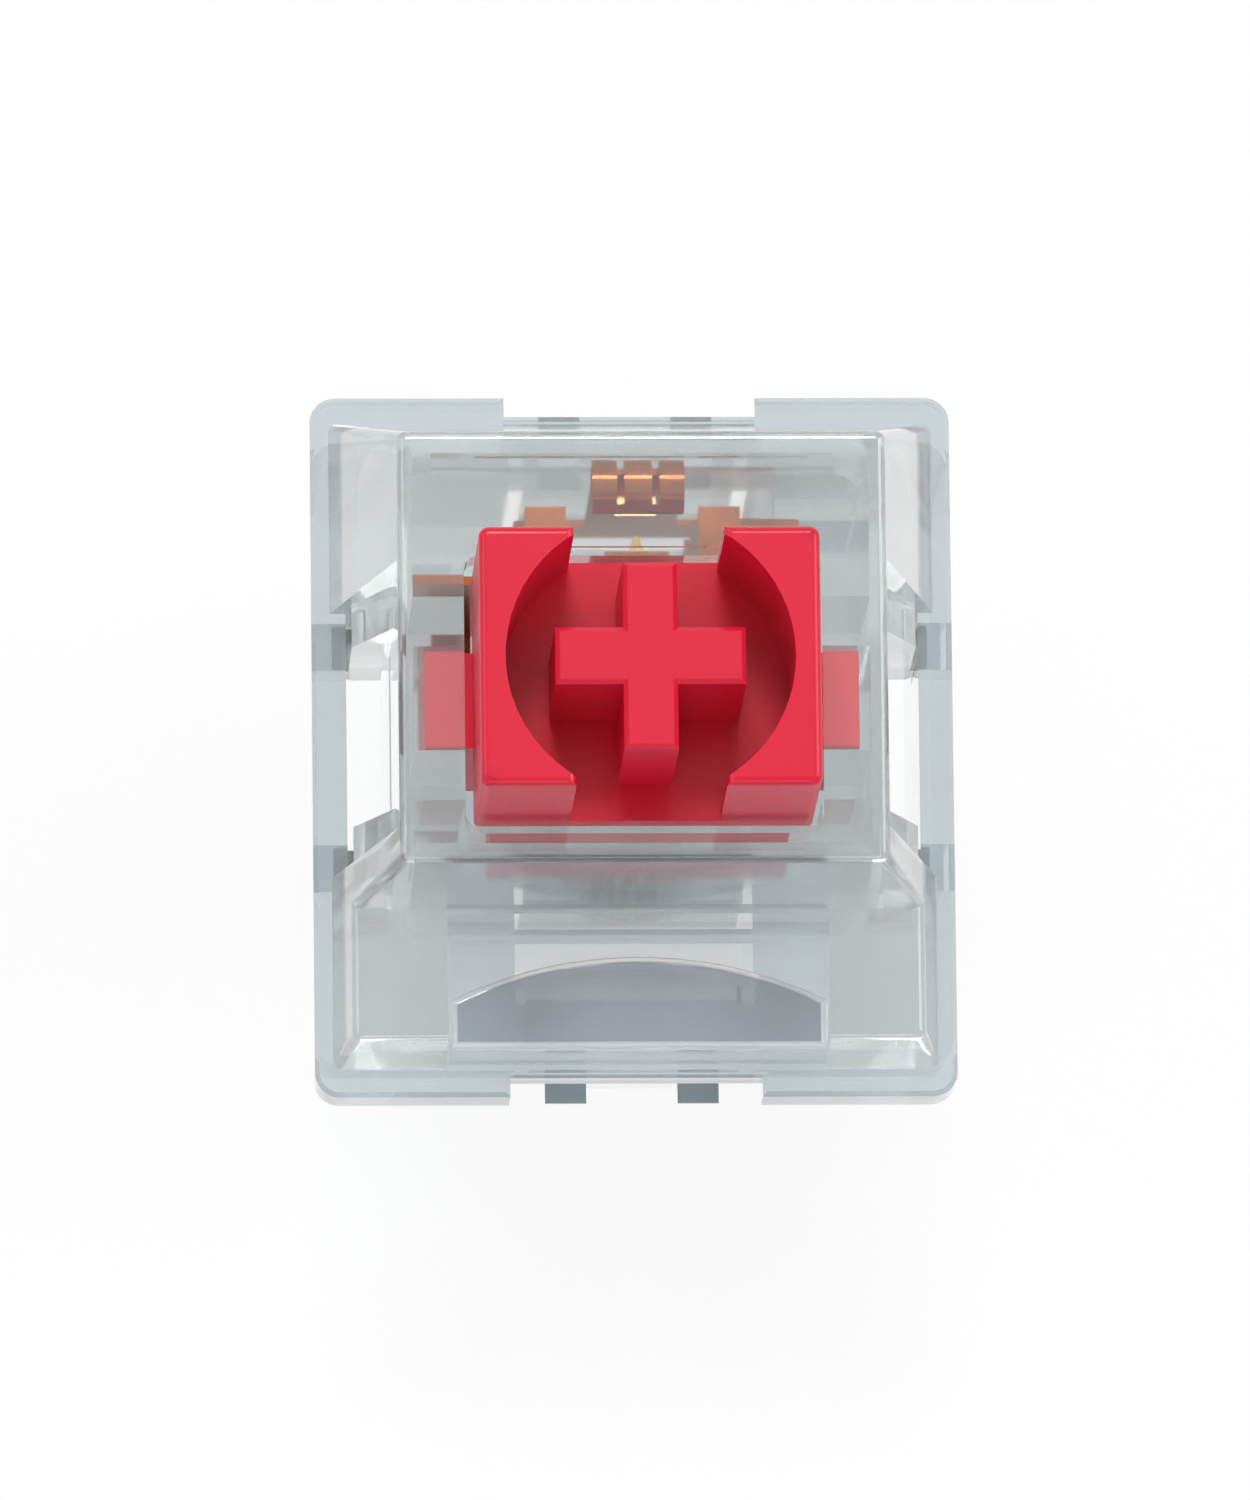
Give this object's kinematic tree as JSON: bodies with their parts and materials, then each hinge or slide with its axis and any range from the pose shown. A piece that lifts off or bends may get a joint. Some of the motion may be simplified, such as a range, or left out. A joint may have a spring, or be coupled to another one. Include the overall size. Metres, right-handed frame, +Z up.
{
  "type": "mechanical keyboard switch",
  "caption": "Plate-mounted linear key switch: clear two-part housing, red dust-proof stem with a keycap cross, coil return spring, leaf contacts and a lamp light guide.",
  "frame": {"origin": "on the centre post's axis at the circuit board's top face, where the post begins", "axes": "+Z up through the keycap cross, +Y towards the contact side with the terminal pins, -Y towards the light side, +X to the right as the picture shows it from above"},
  "size_m": [0.014, 0.0156, 0.0185],
  "materials": {
    "clear_housing": "clear moulded plastic with a faint blue-grey tint",
    "clear_lens": "clear moulded plastic",
    "red_stem": "slightly translucent red moulded plastic",
    "spring_steel": "drawn spring wire",
    "copper_sheet": "stamped copper alloy sheet",
    "gold_point": "gold alloy"
  },
  "bodies": {
    "housing": {"lower_housing": "clear_housing", "upper_housing": "clear_housing", "light_guide": "clear_lens", "return_spring": "spring_steel", "fixed_contact": "copper_sheet", "fixed_contact_point": "gold_point", "leaf_terminal": "copper_sheet"},
    "stem": {"stem": "red_stem"},
    "leaf": {"contact_leaf": "copper_sheet", "leaf_contact_point": "gold_point"}
  },
  "joints": [
    {"name": "stem_press", "type": "slide", "parent": "housing", "child": "stem", "axis": [0, 0, -1], "range_m": [0, 0.004], "stiffness_N_per_m": 62, "springref_m": -0.0048, "deforming": ["return_spring"]},
    {"name": "leaf_flex", "type": "hinge", "parent": "housing", "child": "leaf", "pos_m": [0, 0.00508, 0.00335], "axis": [1, 0, 0], "range_deg": [0, 7]}
  ],
  "couplings": [
    {"joint": "leaf_flex", "follows": "stem_press", "rad_per_m": 27.75}
  ]
}
